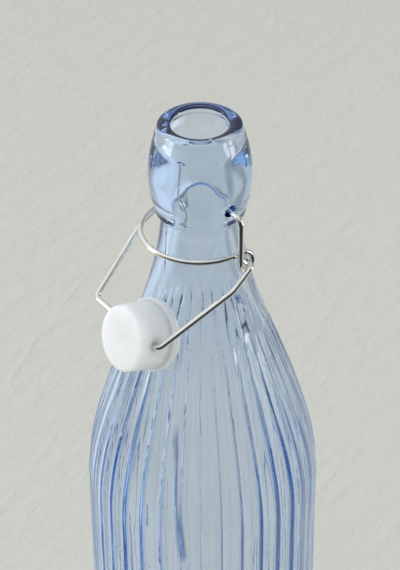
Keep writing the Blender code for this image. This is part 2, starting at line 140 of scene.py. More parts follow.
class Socket:
    """One output in a node tree. Sums, products and powers of it add the Math nodes."""

    def __init__(self, output):
        self.output = output

    @staticmethod
    def add(tree, kind, settings=None, sockets=None, output=0):
        """Adds a node with its settings, then fills its sockets with values or links."""
        node = tree.nodes.new(kind)
        for name, value in (settings or {}).items():
            setattr(node, name, value)
        for name, value in (sockets or {}).items():
            if isinstance(value, Socket):
                tree.links.new(value.output, node.inputs[name])
            else:
                node.inputs[name].default_value = value
        return Socket(node.outputs[output]) if node.outputs else None

    def math(self, operation, other=0.0, reflected=False):
        """A Math node on this number and another, which comes first where it is reflected."""
        first, second = (other, self) if reflected else (self, other)
        return Socket.add(self.output.id_data, "ShaderNodeMath", {"operation": operation},
                          {0: first, 1: second})

    def __add__(self, other):
        return self.math("ADD", other)

    def __sub__(self, other):
        return self.math("SUBTRACT", other)

    def __rsub__(self, other):
        return self.math("SUBTRACT", other, reflected=True)

    def __mul__(self, other):
        return self.math("MULTIPLY", other)

    def __truediv__(self, other):
        return self.math("DIVIDE", other)

    def __pow__(self, other):
        return self.math("POWER", other)

    def __abs__(self):
        return self.math("ABSOLUTE")

    __radd__ = __add__
    __rmul__ = __mul__

    def between(self, low, high):
        """0 below low, 1 above high, and a smooth step from one to the other."""
        return Socket.add(self.output.id_data, "ShaderNodeMapRange", {"interpolation_type": "SMOOTHSTEP"},
                          {"Value": self, "From Min": low, "From Max": high})

    def held(self):
        """This number, held between 0 and 1."""
        return self.math("MAXIMUM", 0.0).math("MINIMUM", 1.0)


def new_material(name):
    material = bpy.data.materials.new(name)
    material.use_nodes = True
    material.node_tree.nodes.clear()
    return material, material.node_tree


def here(tree):
    """Object coordinates."""
    return Socket.add(tree, "ShaderNodeTexCoord", output="Object")


def vector(tree, operation, *inputs, output="Vector"):
    """A Vector Math node on vectors or values."""
    return Socket.add(tree, "ShaderNodeVectorMath", {"operation": operation}, dict(enumerate(inputs)),
                      output)


def toward(tree, place, side):
    """How far a place lies to one side."""
    return vector(tree, "DOT_PRODUCT", place, side, output="Value")


def split(tree, whole):
    """The X, Y and Z of a vector."""
    first = Socket.add(tree, "ShaderNodeSeparateXYZ", {}, {0: whole})
    return [Socket(output) for output in first.output.node.outputs]


def brushed(tree, size):
    """Object coordinates along and across the brush, in lengths of one stroke."""
    return Socket.add(tree, "ShaderNodeMapping", {"vector_type": "TEXTURE"},
                      {"Vector": here(tree), "Rotation": (0.0, 0.0, STROKE_TURN), "Scale": size})


def noise(tree, place, scale, detail=3.0, roughness=0.5, distortion=0.0):
    return Socket.add(tree, "ShaderNodeTexNoise", {}, {"Vector": place, "Scale": scale, "Detail": detail,
                                                       "Roughness": roughness, "Distortion": distortion})


def mixed(tree, factor, first, second, blend="MIX"):
    """A colour of two colours, which are inputs 6 and 7 and output 2 of the Mix node."""
    return Socket.add(tree, "ShaderNodeMix", {"data_type": "RGBA", "blend_type": blend},
                      {0: factor, 6: first, 7: second}, output=2)


def blended(tree, factor, first, second):
    """A surface or a light between two others."""
    return Socket.add(tree, "ShaderNodeMixShader", {}, {0: factor, 1: first, 2: second})


def bumped(tree, height, distance, strength=1.0):
    return Socket.add(tree, "ShaderNodeBump", {}, {"Height": height, "Distance": distance,
                                                   "Strength": strength})


def kinds_of_ray(tree):
    """Masks of the camera's rays, of rays through glass, and of rays off metal or another gloss."""
    path = Socket.add(tree, "ShaderNodeLightPath").output.node
    seen, through, gloss = (Socket(path.outputs[kind])
                            for kind in ("Is Camera Ray", "Is Transmission Ray", "Is Glossy Ray"))
    return seen, through, gloss * (1.0 - through)


def plaster_surface(tree):
    """Plaster with short brush strokes, a few long ridges between them and a fine grain."""
    strokes = noise(tree, brushed(tree, STROKE_SIZE), scale=1.0, detail=6.0, roughness=0.7, distortion=0.5)
    wander = noise(tree, brushed(tree, RIDGE_SIZE), scale=1.0, detail=2.5, roughness=0.55, distortion=0.3)
    ridges = 1.0 - (abs(wander - 0.5) * RIDGE_SHARPNESS).between(0.0, 1.0)
    grain = noise(tree, here(tree), GRAIN_SCALE, roughness=0.6)
    height = STROKE_HEIGHT * strokes + RIDGE_HEIGHT * ridges + GRAIN_HEIGHT * grain
    shade = SHADE_LEAST + SHADE_SPREAD * strokes
    shade = Socket.add(tree, "ShaderNodeCombineColor", {}, {"Red": shade, "Green": shade, "Blue": shade})
    return Socket.add(tree, "ShaderNodeBsdfPrincipled", {},
                      {"Base Color": mixed(tree, 1.0, (*PLASTER, 1.0), shade, "MULTIPLY"),
                       "Roughness": PLASTER_ROUGHNESS, "Specular IOR Level": PLASTER_GLOSS,
                       "Normal": bumped(tree, height, PLASTER_DEPTH, PLASTER_RELIEF)})


def plaster_material():
    """The camera sees plain plaster, which fades into the sky far off. Metal and glass see shade
    painted on it in front, and glass also a painted dark strip to the right and a painted glowing
    pool of light to the left, all fixed in the room."""
    material, tree = new_material("pale_plaster")
    place = here(tree)
    ahead, left, right = (toward(tree, place, side) for side in (FRONT_SIDE, LEFT_SIDE, RIGHT_SIDE))
    front = ahead.between(*FRONT_EDGE)
    # Painted shade: where the dark strip to the right lies on the floor.
    strip = right.between(*RIGHT_START) * (1.0 - right.between(*RIGHT_END))
    pools = left.between(*POOL_START) * (1.0 - left.between(*POOL_END))
    far = vector(tree, "LENGTH", place, output="Value").between(*FADE_EDGE)
    seen, through, reflected = kinds_of_ray(tree)
    # How strongly glass sees painted shade: the dark patch in front or the dark strip to the right.
    dim = (FRONT_GLASS_SHADE * front).math("MAXIMUM", RIGHT_GLASS_SHADE * strip)
    # Painted shade: a dark patch on the floor in front for metal and glass only; the camera sees plaster.
    dark = Socket.add(tree, "ShaderNodeBsdfDiffuse", {}, {"Color": (*FRONT_PAINTED_SHADE, 1.0)})
    pool = Socket.add(tree, "ShaderNodeEmission", {}, {"Color": (*PAINTED_POOL_COLOUR, 1.0),
                                                       "Strength": PAINTED_POOL_LIGHT})
    sky = Socket.add(tree, "ShaderNodeEmission", {}, {"Color": (*SKY, 1.0), "Strength": 1.0})
    surface = blended(tree, reflected * front + through * dim, plaster_surface(tree), dark)
    # Painted light: glass sees the floor glow, faintly everywhere and fully in the pool to the left.
    surface = blended(tree, through * (POOL_BASE + pools), surface, pool)
    surface = blended(tree, seen.math("MAXIMUM", through) * far, surface, sky)
    Socket.add(tree, "ShaderNodeOutputMaterial", {}, {"Surface": surface})
    return material


def add_floor():
    corners = [(-FLOOR_REACH, -FLOOR_REACH, 0.0), (FLOOR_REACH, -FLOOR_REACH, 0.0),
               (FLOOR_REACH, FLOOR_REACH, 0.0), (-FLOOR_REACH, FLOOR_REACH, 0.0)]
    mesh = bpy.data.meshes.new("floor")
    mesh.from_pydata(corners, [], [(0, 1, 2, 3)])
    mesh.materials.append(plaster_material())
    floor = placed("floor", mesh)


def add_lamp(name, place, size, power):
    light = bpy.data.lights.new(name, "AREA")
    light.shape = "RECTANGLE"
    light.size, light.size_y = size
    light.energy = power
    lamp = placed(name, light)
    lamp.location = place
    lamp.rotation_euler = (LAMP_TARGET - place).to_track_quat("-Z", "Y").to_euler()


def light_world():
    """A sky that is an even grey to the camera. As a light it is brighter to the left, by the window.
    Low down, metal sees it dim in front, and glass sees the same grey as the camera."""
    world = bpy.data.worlds.new("sky")
    world.use_nodes = True
    bpy.context.scene.world = world
    tree = world.node_tree
    tree.nodes.clear()
    way = Socket.add(tree, "ShaderNodeTexCoord", output="Generated")
    height = split(tree, way)[2]
    seen, through, reflected = kinds_of_ray(tree)
    window = toward(tree, way, WINDOW_SIDE).between(*WINDOW_EDGE)
    front = toward(tree, way, FRONT_SIDE).between(*FRONT_SKY_EDGE)
    unlit = reflected * front * (1.0 - height.between(*FRONT_SKY_TOP))
    strength = (ROOM_SKY + (WINDOW_SKY - ROOM_SKY) * window) * (1.0 - FRONT_SKY * unlit)
    light = Socket.add(tree, "ShaderNodeBackground", {}, {"Color": (*SKY_LIGHT, 1.0), "Strength": strength})
    grey = Socket.add(tree, "ShaderNodeBackground", {}, {"Color": (*SKY, 1.0), "Strength": 1.0})
    low = through * (1.0 - height.between(*LOW_SKY_TOP))
    both = blended(tree, seen.math("MAXIMUM", low), light, grey)
    Socket.add(tree, "ShaderNodeOutputWorld", {}, {"Surface": both})


add_floor()
light_world()
add_lamp("lamp_left", LAMP_LEFT, LAMP_LEFT_SIZE, LAMP_LEFT_POWER)
add_lamp("lamp_right", LAMP_RIGHT, LAMP_RIGHT_SIZE, LAMP_RIGHT_POWER)
bpy.context.scene.view_settings.view_transform = "Standard"
bpy.context.scene.cycles.max_bounces = GLASS_BOUNCES
bpy.context.scene.cycles.transmission_bounces = GLASS_BOUNCES
bpy.context.scene.cycles.glossy_bounces = GLASS_BOUNCES

# Glass bottle
# One piece of pale blue glass, blown into a fluted mould under a thick pressed finish.
# The outside is turned and then drawn in along the flutes; the inside is left a little uneven,
# as blown glass is, and two tapered holes in the finish take the ends of the lever wire.
BOTTLE_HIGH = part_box("bottle")[1]
BOTTLE_HEIGHT = BOTTLE_HIGH.z
BODY_RADIUS = BOTTLE_HIGH.x
LIP_RADIUS = 0.0140
LIP_CREST_RADIUS = 0.0113
LIP_EDGE_DROP = 0.0016
LIP_LINE_DROP = 0.0031
LIP_LINE_DEPTH = 0.00014
LIP_LINE_WIDTH = 0.0005
BARREL_RADIUS = 0.01715
BARREL_WIDEST_DROP = 0.0185
BARREL_TOP_POWER = 1.75
BARREL_FOOT_RADIUS = 0.0153
BARREL_FOOT_DROP = 0.0312
NECK_RADIUS = 0.0132
NECK_TOP_DROP = 0.0343
SHOULDER_FOOT_DROP = 0.1460
SHOULDER_START_SLOPE_SHARE = 0.10
HEEL_RADIUS = 0.0070
FOOT_RING_WIDTH = 0.0030
PUSH_UP_HEIGHT = 0.0040
BORE_RADIUS = 0.0095
BORE_EDGE_DROP = 0.0009
BORE_LENGTH = 0.0370
WALL_THICKNESS = 0.0024
BASE_THICKNESS = 0.0050
INSIDE_HEEL_RADIUS = 0.0080
INSIDE_BULGE = 0.0024
INSIDE_BULGE_TOP = 0.0010
INSIDE_BULGE_FULL = 0.0090
INSIDE_BULGE_TURN = 0.0200
INSIDE_BULGE_FOOT = 0.0370
FLUTE_COUNT = 34
FLUTE_DEPTH = 0.0008
FLUTE_POWER = 0.65
FLUTE_TOP_DROP = 0.0750
FLUTE_TOP_RUNOUT = 0.0080
FLUTE_FOOT_RUNOUT = 0.0060
INSIDE_RADIUS = BODY_RADIUS - FLUTE_DEPTH - WALL_THICKNESS
INSIDE_FOLLOW = 0.7
INSIDE_RUNOUT = 0.030
INSIDE_WAVE = 0.0006
INSIDE_WAVE_SCALE = 70.0
INSIDE_WAVE_STRETCH = 0.22
INSIDE_CALM = 0.85
INSIDE_CALM_RUNOUTS = 2.0
PIVOT_DROP = 0.0257
PIVOT_HOLE_DEPTH = 0.0048
PIVOT_HOLE_MOUTH_RADIUS = 0.0025
PIVOT_HOLE_FLOOR_RADIUS = 0.0013
CUT_OVERRUN = 0.0020
COLUMNS_PER_FLUTE = 10
ARC_STEPS = 8
RIM_STEPS = 10
LIP_LINE_STEPS = 16
BARREL_STEPS = 20
NECK_STEPS = 20
FLUTE_TOP_STEPS = 14
SHOULDER_STEPS = 28
BODY_STEPS = 6
FLUTE_FOOT_STEPS = 8
INSIDE_BODY_STEPS = 42
INSIDE_SHOULDER_STEPS = 38
INSIDE_FINISH_STEPS = 60
HOLE_STEPS = 48
LEAST_RADIUS = 0.0001
EDGE_ANGLE = math.radians(50.0)
GLASS_IOR = 1.52
GLASS_ABSORPTION = (34.0, 21.0, 6.0)         # per metre, in red, green and blue
GLASS_DENSITY = 40.0
GLASS_RELIEF = 0.0005
CLEAR_GLASS = (0.95, 0.975, 1.0)
SHADOW_GLASS = (0.98, 0.99, 1.0)
GLASS_ROUGHNESS = 0.012
SMEAR_SCALE = 60.0
SMEAR_STRETCH = 0.4
SMEAR_SHARPNESS = 3.0
SMEAR_ROUGHNESS = 0.03
WAVE_SCALE = 90.0
WAVE_STRETCH = 0.25
WAVE_HEIGHT = 0.25
FINE_SCALE = 420.0
FINE_STRETCH = 0.6
FINE_HEIGHT = 0.025
PLACES_SCALE = 40.0
PLACES_STRETCH = 0.5
WALL_MIDDLE_TOP = (NECK_RADIUS + BORE_RADIUS) / 2
WALL_MIDDLE_BODY = (BODY_RADIUS + INSIDE_RADIUS) / 2
WALL_MIDDLE_BLUR = 0.0003
# Painted shade: the dark navy painted into the glass's colour along the folds and the ribs' outlines.
GLASS_PAINTED_SHADE = (0.10, 0.20, 0.45)
FOLD_SCALE = 60.0
FOLD_STRETCH = 0.10
FOLD_LEVEL = 0.55
FOLD_SHARPNESS = 36.0
FOLD_HEIGHT = 0.8
FOLD_PLACES = (0.50, 0.60)
FOLD_TOP = (0.235, 0.250)
RIB_TOP_SHARE = 0.4
RIB_TOP = BOTTLE_HEIGHT - FLUTE_TOP_DROP - RIB_TOP_SHARE * FLUTE_TOP_RUNOUT
RIB_END = 0.004
RIB_SHARE = 0.28
RIB_WOBBLE = 0.5
RIB_SHARPNESS = 1.0
RIB_SHADE_STRENGTH = 0.2
RIB_HEIGHT = 0.06
RIB_PLACES = (0.42, 0.62)


def shares(count):
    """Even steps from 0 to 1, with 0 left out."""
    return [(step + 1) / count for step in range(count)]


def ellipse_arc(centre, radii, start, end, count):
    """Points along an ellipse from one angle to another, with the first left out."""
    angles = [math.radians(start + (end - start) * share) for share in shares(count)]
    return [(centre[0] + radii[0] * math.cos(angle), centre[1] + radii[1] * math.sin(angle))
            for angle in angles]


def shoulder_rise(share):
    """How far the shoulder has widened, from 0 at the neck to 1 at the body."""
    smooth = 3 * share ** 2 - 2 * share ** 3
    start = share ** 3 - 2 * share ** 2 + share
    return smooth + SHOULDER_START_SLOPE_SHARE * start


def outside_radius(drop):
    share = (drop - NECK_TOP_DROP) / (SHOULDER_FOOT_DROP - NECK_TOP_DROP)
    return NECK_RADIUS + (BODY_RADIUS - NECK_RADIUS) * shoulder_rise(min(max(share, 0.0), 1.0))


def barrel_radius(drop):
    """The barrel under the lip, with the fine line that the finish mould leaves below the lip."""
    if drop < BARREL_WIDEST_DROP:
        share = (drop - LIP_EDGE_DROP) / (BARREL_WIDEST_DROP - LIP_EDGE_DROP)
        radius = BARREL_RADIUS - (BARREL_RADIUS - LIP_RADIUS) * (1.0 - share) ** BARREL_TOP_POWER
    else:
        share = (drop - BARREL_WIDEST_DROP) / (BARREL_FOOT_DROP - BARREL_WIDEST_DROP)
        radius = BARREL_RADIUS - (BARREL_RADIUS - BARREL_FOOT_RADIUS) * share ** 2
    line = math.exp(-((drop - LIP_LINE_DROP) / LIP_LINE_WIDTH) ** 2)
    return radius - LIP_LINE_DEPTH * line


def smooth_step(value, low, high):
    share = min(max((value - low) / (high - low), 0.0), 1.0)
    return share * share * (3.0 - 2.0 * share)


def inside_bulge(drop):
    """How far the inside of the finish widens below the mouth, where the barrel is blown hollow."""
    widening = smooth_step(drop, INSIDE_BULGE_TOP, INSIDE_BULGE_FULL)
    closing = 1.0 - smooth_step(drop, INSIDE_BULGE_TURN, INSIDE_BULGE_FOOT)
    return INSIDE_BULGE * widening * closing


def inside_points():
    """From the middle of the inside base, up the wall, to the edge of the bore."""
    floor = BASE_THICKNESS
    flat = INSIDE_RADIUS - INSIDE_HEEL_RADIUS
    points = [(0.0, floor + PUSH_UP_HEIGHT)]
    for share in shares(ARC_STEPS):
        points.append((flat * share, floor + PUSH_UP_HEIGHT * math.cos(math.pi / 2 * share)))
    points += ellipse_arc((flat, floor + INSIDE_HEEL_RADIUS),
                          (INSIDE_HEEL_RADIUS, INSIDE_HEEL_RADIUS), -90, 0, ARC_STEPS)
    wall_foot = floor + INSIDE_HEEL_RADIUS
    wall_top = BOTTLE_HEIGHT - SHOULDER_FOOT_DROP
    for share in shares(INSIDE_BODY_STEPS):
        points.append((INSIDE_RADIUS, wall_foot + (wall_top - wall_foot) * share))
    for share in shares(INSIDE_SHOULDER_STEPS):
        drop = SHOULDER_FOOT_DROP + (BORE_LENGTH - SHOULDER_FOOT_DROP) * share
        radius = BORE_RADIUS + (INSIDE_RADIUS - BORE_RADIUS) * shoulder_rise(1.0 - share)
        points.append((radius, BOTTLE_HEIGHT - drop))
    for share in shares(INSIDE_FINISH_STEPS):
        drop = BORE_LENGTH + (BORE_EDGE_DROP - BORE_LENGTH) * share
        points.append((BORE_RADIUS + inside_bulge(drop), BOTTLE_HEIGHT - drop))
    return points


def outside_points():
    """From the edge of the bore, over the lip and down the outside, to the middle of the underside."""
    edge = (LIP_CREST_RADIUS, BOTTLE_HEIGHT - BORE_EDGE_DROP)
    points = ellipse_arc(edge, (LIP_CREST_RADIUS - BORE_RADIUS, BORE_EDGE_DROP), 180, 90, ARC_STEPS)
    rim = (LIP_CREST_RADIUS, BOTTLE_HEIGHT - LIP_EDGE_DROP)
    points += ellipse_arc(rim, (LIP_RADIUS - LIP_CREST_RADIUS, LIP_EDGE_DROP), 90, 0, RIM_STEPS)
    line_end = 2 * LIP_LINE_DROP
    drops = [LIP_EDGE_DROP + (line_end - LIP_EDGE_DROP) * share for share in shares(LIP_LINE_STEPS)]
    drops += [line_end + (BARREL_FOOT_DROP - line_end) * share for share in shares(BARREL_STEPS)]
    points += [(barrel_radius(drop), BOTTLE_HEIGHT - drop) for drop in drops]
    foot = (NECK_RADIUS, BOTTLE_HEIGHT - BARREL_FOOT_DROP)
    foot_radii = (BARREL_FOOT_RADIUS - NECK_RADIUS, NECK_TOP_DROP - BARREL_FOOT_DROP)
    points += ellipse_arc(foot, foot_radii, 0, -90, ARC_STEPS)
    flute_end = FLUTE_TOP_DROP + FLUTE_TOP_RUNOUT
    heel_drop = BOTTLE_HEIGHT - HEEL_RADIUS
    body_end = heel_drop - FLUTE_FOOT_RUNOUT
    stretches = [(NECK_TOP_DROP, FLUTE_TOP_DROP, NECK_STEPS), (FLUTE_TOP_DROP, flute_end, FLUTE_TOP_STEPS),
                 (flute_end, SHOULDER_FOOT_DROP, SHOULDER_STEPS),
                 (SHOULDER_FOOT_DROP, body_end, BODY_STEPS),
                 (body_end, heel_drop, FLUTE_FOOT_STEPS)]
    for first, last, count in stretches:
        points += [(outside_radius(first + (last - first) * share),
                    BOTTLE_HEIGHT - first - (last - first) * share) for share in shares(count)]
    heel = (BODY_RADIUS - HEEL_RADIUS, HEEL_RADIUS)
    points += ellipse_arc(heel, (HEEL_RADIUS, HEEL_RADIUS), 0, -90, ARC_STEPS)
    ring_inside = BODY_RADIUS - HEEL_RADIUS - FOOT_RING_WIDTH
    points.append((ring_inside, 0.0))
    points += [(ring_inside * (1.0 - share), PUSH_UP_HEIGHT * math.sin(math.pi / 2 * share))
               for share in shares(ARC_STEPS)]
    return points


def turned(name, profile, columns):
    """A closed mesh turned about Z from a profile whose ends lie on the axis."""
    vertices = [(0.0, 0.0, profile[0][1])]
    for radius, height in profile[1:-1]:
        for column in range(columns):
            angle = 2 * math.pi * column / columns
            vertices.append((radius * math.cos(angle), radius * math.sin(angle), height))
    vertices.append((0.0, 0.0, profile[-1][1]))
    rings = len(profile) - 2
    faces = []
    for column in range(columns):
        after = (column + 1) % columns
        faces.append((0, 1 + column, 1 + after))
        for ring in range(rings - 1):
            start = 1 + ring * columns
            below = start + columns
            faces.append((start + column, below + column, below + after, start + after))
        start = 1 + (rings - 1) * columns
        faces.append((start + column, len(vertices) - 1, start + after))
    mesh = bpy.data.meshes.new(name)
    mesh.from_pydata(vertices, [], faces)
    return mesh


def stretched(tree, share):
    """Object coordinates with a share of their height, which draws a pattern out upwards."""
    return Socket.add(tree, "ShaderNodeMapping", {}, {"Vector": here(tree), "Scale": (1.0, 1.0, share)})


def wrapped(tree, stretch):
    """Object coordinates drawn out to the body's radius, so that a pattern follows the flutes."""
    place = here(tree)
    level = vector(tree, "NORMALIZE", vector(tree, "MULTIPLY", place, (1.0, 1.0, 0.0)))
    level = vector(tree, "MULTIPLY", level, (BODY_RADIUS, BODY_RADIUS, 0.0))
    return vector(tree, "MULTIPLY_ADD", place, (0.0, 0.0, stretch), level)


def fold_marks(tree, z, inside):
    """Folds in the inner wall, drawn out upwards, which end below the neck. They are raised as a real bump,
    and the dark navy along them is painted shade.
    """
    folds = noise(tree, wrapped(tree, FOLD_STRETCH), FOLD_SCALE, detail=1.5, roughness=0.45)
    marks = 1.0 - (abs(folds - FOLD_LEVEL) * FOLD_SHARPNESS).between(0.0, 1.0)
    return marks * (1.0 - z.between(*FOLD_TOP)) * inside


def rib_edges(x, y, z, waves):
    """A mask along the outline of each rib between two flutes, with its round end at the top. It paints a
    dark line of shade into the glass's colour and raises a faint bump.
    """
    turn = y.math("ARCTAN2", x) * (FLUTE_COUNT / (2 * math.pi))
    across = 1.0 - 2.0 * abs(turn - turn.math("ROUND"))
    along = ((z - RIB_TOP + RIB_END) / RIB_END).math("MAXIMUM", 0.0)
    rib = ((across + RIB_WOBBLE * (waves - 0.5)) / RIB_SHARE) ** 2.0 + along ** 2.0
    return 1.0 - (abs(rib - 1.0) * RIB_SHARPNESS).between(0.0, 1.0)


def glass_material():
    """Clear glass whose blue comes from its depth, with a wavy surface and folds, and with dark shade
    painted along the folds and the ribs' outlines.
    """
    material, tree = new_material("blue_glass_fine")
    waves = noise(tree, stretched(tree, WAVE_STRETCH), WAVE_SCALE, detail=2.0)
    fine = noise(tree, stretched(tree, FINE_STRETCH), FINE_SCALE, detail=2.0)
    smears = noise(tree, stretched(tree, SMEAR_STRETCH), SMEAR_SCALE, detail=4.0, roughness=0.6)
    places = noise(tree, wrapped(tree, PLACES_STRETCH), PLACES_SCALE, detail=1.0)
    x, y, z = split(tree, here(tree))
    radius = (x * x + y * y).math("SQRT")
    shoulder = 1.0 - z.between(BOTTLE_HEIGHT - SHOULDER_FOOT_DROP, BOTTLE_HEIGHT - NECK_TOP_DROP)
    middle = WALL_MIDDLE_TOP + (WALL_MIDDLE_BODY - WALL_MIDDLE_TOP) * shoulder
    inside = 1.0 - (radius - middle).between(-WALL_MIDDLE_BLUR, WALL_MIDDLE_BLUR)
    marks = places.between(*FOLD_PLACES) * fold_marks(tree, z, inside)
    edges = places.between(*RIB_PLACES) * rib_edges(x, y, z, waves) * (1.0 - inside)
    # Painted shade: dark navy along the folds and the ribs' outlines, mixed into the glass's colour.
    painted_glass_shade = marks.math("MAXIMUM", RIB_SHADE_STRENGTH * edges)
    height = WAVE_HEIGHT * waves + FINE_HEIGHT * fine + FOLD_HEIGHT * marks + RIB_HEIGHT * edges
    roughness = GLASS_ROUGHNESS + SMEAR_ROUGHNESS * smears ** SMEAR_SHARPNESS
    surface = Socket.add(tree, "ShaderNodeBsdfPrincipled", {},
                         {"Base Color": mixed(tree, painted_glass_shade, (*CLEAR_GLASS, 1.0), (*GLASS_PAINTED_SHADE, 1.0)),
                          "Roughness": roughness, "IOR": GLASS_IOR, "Transmission Weight": 1.0,
                          "Normal": bumped(tree, height, GLASS_RELIEF)})
    clear = Socket.add(tree, "ShaderNodeBsdfTransparent", {}, {"Color": (*SHADOW_GLASS, 1.0)})
    shadow = Socket.add(tree, "ShaderNodeLightPath", output="Is Shadow Ray")
    tint = [1.0 - share / GLASS_DENSITY for share in GLASS_ABSORPTION]
    depth = Socket.add(tree, "ShaderNodeVolumeAbsorption", {}, {"Color": (*tint, 1.0),
                                                                "Density": GLASS_DENSITY})
    Socket.add(tree, "ShaderNodeOutputMaterial", {}, {"Surface": blended(tree, shadow, surface, clear),
                                                      "Volume": depth})
    return material


def flute_sizes():
    """The flute tree's inputs."""
    return {"Flute Count": float(FLUTE_COUNT), "Flute Depth": FLUTE_DEPTH, "Body Radius": BODY_RADIUS,
            "Flute Top": BOTTLE_HEIGHT - FLUTE_TOP_DROP, "Top Runout": FLUTE_TOP_RUNOUT,
            "Flute Foot": HEEL_RADIUS, "Foot Runout": FLUTE_FOOT_RUNOUT, "Inside Runout": INSIDE_RUNOUT,
            "Inside Wave": INSIDE_WAVE}


def flute_tree():
    """Draws a turned bottle in along its flutes, and makes its inner wall uneven."""
    tree = bpy.data.node_groups.new("flutes", "GeometryNodeTree")
    interface = tree.interface
    interface.new_socket("Geometry", in_out="INPUT", socket_type="NodeSocketGeometry")
    for name in flute_sizes():
        interface.new_socket(name, in_out="INPUT", socket_type="NodeSocketFloat")
    interface.new_socket("Glass", in_out="INPUT", socket_type="NodeSocketMaterial")
    interface.new_socket("Geometry", in_out="OUTPUT", socket_type="NodeSocketGeometry")
    given = Socket.add(tree, "NodeGroupInput").output.node
    size = {socket.name: Socket(socket) for socket in given.outputs if socket.name}
    x, y, z = split(tree, Socket.add(tree, "GeometryNodeInputPosition"))
    outside = Socket.add(tree, "GeometryNodeInputNamedAttribute", {"data_type": "FLOAT"},
                         {"Name": "outside"})
    radius = (x * x + y * y).math("SQRT")
    turn = y.math("ARCTAN2", x) * size["Flute Count"] / (2 * math.pi)
    across = 2.0 * abs(turn - turn.math("ROUND"))
    top = ((z - size["Flute Top"] + size["Top Runout"]) / size["Top Runout"]).held()
    foot = ((size["Flute Foot"] + size["Foot Runout"] - z) / size["Foot Runout"]).held()
    share = (1.0 - across * across - top * top - foot * foot).math("MAXIMUM", 0.0)
    flute = size["Flute Depth"] * radius / size["Body Radius"] * share ** FLUTE_POWER
    begun = ((size["Flute Top"] - z) / size["Inside Runout"]).held()
    flute = flute * (outside + INSIDE_FOLLOW * begun * (1.0 - outside))
    span = radius.math("MAXIMUM", LEAST_RADIUS)
    spread = size["Body Radius"] / span
    around = Socket.add(tree, "ShaderNodeCombineXYZ", {},
                        {0: x * spread, 1: y * spread, 2: INSIDE_WAVE_STRETCH * z})
    uneven = noise(tree, around, INSIDE_WAVE_SCALE, detail=2.0)
    calm = ((z - size["Flute Top"]) / (INSIDE_CALM_RUNOUTS * size["Top Runout"])).held()
    wave = size["Inside Wave"] * (uneven - 0.5) * (1.0 - outside) * (1.0 - INSIDE_CALM * calm)
    factor = (radius - flute + wave) / span
    moved = Socket.add(tree, "ShaderNodeCombineXYZ", {}, {0: x * factor, 1: y * factor, 2: z})
    drawn = Socket.add(tree, "GeometryNodeSetPosition", {}, {"Geometry": size["Geometry"],
                                                             "Position": moved})
    whole = Socket.add(tree, "GeometryNodeRealizeInstances", {}, {"Geometry": drawn})
    dressed = Socket.add(tree, "GeometryNodeSetMaterial", {}, {"Geometry": whole,
                                                               "Material": size["Glass"]})
    Socket.add(tree, "NodeGroupOutput", {}, {"Geometry": dressed})
    return tree


def hole_cutter(name, side):
    """A tapered round cutter along X for one pivot hole, with its floor inside the barrel."""
    depth = PIVOT_HOLE_DEPTH + CUT_OVERRUN
    slope = (PIVOT_HOLE_MOUTH_RADIUS - PIVOT_HOLE_FLOOR_RADIUS) / PIVOT_HOLE_DEPTH
    work = bmesh.new()
    bmesh.ops.create_cone(work, cap_ends=True, segments=HOLE_STEPS, radius1=PIVOT_HOLE_FLOOR_RADIUS,
                          radius2=PIVOT_HOLE_FLOOR_RADIUS + slope * depth, depth=depth)
    start = Vector((side * (BARREL_RADIUS - PIVOT_HOLE_DEPTH + depth / 2), 0.0, BOTTLE_HEIGHT - PIVOT_DROP))
    work.transform(Matrix.Translation(start) @ Matrix.Rotation(math.radians(90.0) * side, 4, "Y"))
    mesh = bpy.data.meshes.new(name)
    work.to_mesh(mesh)
    work.free()
    return placed(name, mesh)


def cut_away(item, cutters):
    """Cuts the cutters out of an object, which becomes a plain mesh without modifiers."""
    for cutter in cutters:
        cut = item.modifiers.new(cutter.name, "BOOLEAN")
        cut.operation = "DIFFERENCE"
        cut.solver = "EXACT"
        cut.object = cutter
    bpy.context.view_layer.update()
    evaluated = item.evaluated_get(bpy.context.evaluated_depsgraph_get())
    mesh = bpy.data.meshes.new_from_object(evaluated)
    item.modifiers.clear()
    item.data = mesh
    for cutter in cutters:
        bpy.data.objects.remove(cutter, do_unlink=True)


def round_shaded(item, angle):
    item.data.shade_smooth()
    item.data.set_sharp_from_angle(angle=angle)


def build_bottle():
    inner = inside_points()
    columns = FLUTE_COUNT * COLUMNS_PER_FLUTE
    mesh = turned("bottle_glass", inner + outside_points(), columns)
    marks = mesh.attributes.new("outside", "FLOAT", "POINT")
    inner_count = 1 + (len(inner) - 1) * columns
    marks.data.foreach_set("value", [0.0 if index < inner_count else 1.0
                                     for index in range(len(mesh.vertices))])
    bottle = placed("bottle_glass", mesh)
    flutes = bottle.modifiers.new("Flutes", "NODES")
    flutes.node_group = flute_tree()
    values = {**flute_sizes(), "Glass": glass_material()}
    for item in flutes.node_group.interface.items_tree:
        if item.name in values:
            flutes[item.identifier] = values[item.name]
    cut_away(bottle, [hole_cutter("pivot_hole_right", 1.0), hole_cutter("pivot_hole_left", -1.0)])
    round_shaded(bottle, EDGE_ANGLE)
    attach(bottle, "bottle_body")
    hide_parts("bottle")


build_bottle()

